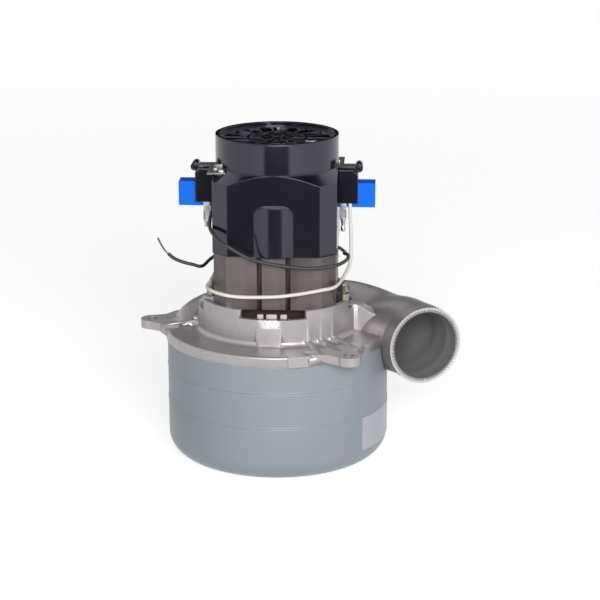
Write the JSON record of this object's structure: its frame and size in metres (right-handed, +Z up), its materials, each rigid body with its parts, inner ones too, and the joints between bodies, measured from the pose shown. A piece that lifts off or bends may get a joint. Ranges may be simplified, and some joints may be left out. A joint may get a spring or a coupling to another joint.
{
  "type": "vacuum motor unit",
  "caption": "Bypass vacuum motor with a stacked fan case, a tangential discharge horn, a wound-field motor and side brush holders.",
  "frame": {"origin": "centre of the inlet eye on the underside of the fan case", "axes": "+Z up the shaft; +X through the right-hand brush, with the front of the unit towards -Y"},
  "size_m": [0.266, 0.198, 0.2682],
  "materials": {
    "case_paint": "satin grey paint",
    "cast_alloy": "as cast",
    "lamination": "varnished laminations",
    "black_moulding": "gloss",
    "blue_moulding": "gloss",
    "steel": "machined",
    "zinc_steel": "zinc plated",
    "sheet_alloy": "spun sheet",
    "copper": "enamelled copper",
    "brass": "drawn brass",
    "carbon": "dull carbon",
    "phenolic": "moulded",
    "bobbin": "natural nylon",
    "fan_moulding": "moulded",
    "felt": "felt",
    "label": "blank label",
    "black_sleeve": "insulation",
    "white_sleeve": "insulation"
  },
  "bodies": {
    "stator": {"inlet_shell": "case_paint", "middle_shell": "case_paint", "top_shell": "case_paint", "case_label": "label", "lower_stationary_fan": "sheet_alloy", "upper_stationary_fan": "sheet_alloy", "motor_bracket": "cast_alloy", "shaft_seal": "felt", "lower_outer_race": "steel", "lower_bearing_clip": "steel", "field_core": "lamination", "front_coil": "copper", "back_coil": "copper", "coil_bobbins": "bobbin", "field_screws": "zinc_steel", "upper_housing": "black_moulding", "vent_cover": "black_moulding", "upper_outer_race": "steel", "left_brush_holder": "blue_moulding", "right_brush_holder": "blue_moulding", "left_brush_sleeve": "brass", "right_brush_sleeve": "brass", "left_brush_clamp": "black_moulding", "right_brush_clamp": "black_moulding", "left_brush_clip": "black_moulding", "right_brush_clip": "black_moulding", "clip_screws": "zinc_steel", "left_terminal": "zinc_steel", "right_terminal": "zinc_steel", "bracket_studs": "zinc_steel", "stud_nuts": "zinc_steel", "stud_washers": "zinc_steel", "black_lead": "black_sleeve", "white_lead": "white_sleeve", "lead_strands": "copper"},
    "rotor": {"shaft": "steel", "armature_core": "lamination", "armature_winding": "copper", "commutator_hub": "phenolic", "commutator_bars": "copper", "cooling_fan": "fan_moulding", "lower_impeller": "sheet_alloy", "middle_impeller": "sheet_alloy", "upper_impeller": "sheet_alloy", "shaft_spacers": "steel", "hub_washers": "steel", "shaft_nut": "zinc_steel", "lower_inner_race": "steel", "upper_inner_race": "steel"},
    "lower_cage": {"lower_bearing_cage": "brass", "lower_bearing_balls": "steel"},
    "upper_cage": {"upper_bearing_cage": "brass", "upper_bearing_balls": "steel"},
    "left_brush_body": {"left_brush": "carbon", "left_brush_spring": "steel"},
    "right_brush_body": {"right_brush": "carbon", "right_brush_spring": "steel"}
  },
  "joints": [
    {"name": "rotor_spin", "type": "hinge", "parent": "stator", "child": "rotor", "pos_m": [0, 0, 0.1], "axis": [0, 0, 1], "continuous": true},
    {"name": "lower_cage_spin", "type": "hinge", "parent": "stator", "child": "lower_cage", "pos_m": [0, 0, 0.11055], "axis": [0, 0, 1], "continuous": true},
    {"name": "upper_cage_spin", "type": "hinge", "parent": "stator", "child": "upper_cage", "pos_m": [0, 0, 0.2398], "axis": [0, 0, 1], "continuous": true},
    {"name": "left_brush_slide", "type": "slide", "parent": "stator", "child": "left_brush_body", "axis": [-1, 0, 0], "range_m": [0, 0.008], "stiffness_N_per_m": 160, "deforming": ["left_brush_spring"]},
    {"name": "right_brush_slide", "type": "slide", "parent": "stator", "child": "right_brush_body", "axis": [1, 0, 0], "range_m": [0, 0.008], "stiffness_N_per_m": 160, "deforming": ["right_brush_spring"]}
  ],
  "couplings": [
    {"joint": "lower_cage_spin", "follows": "rotor_spin", "ratio": 0.3842},
    {"joint": "upper_cage_spin", "follows": "rotor_spin", "ratio": 0.37}
  ]
}
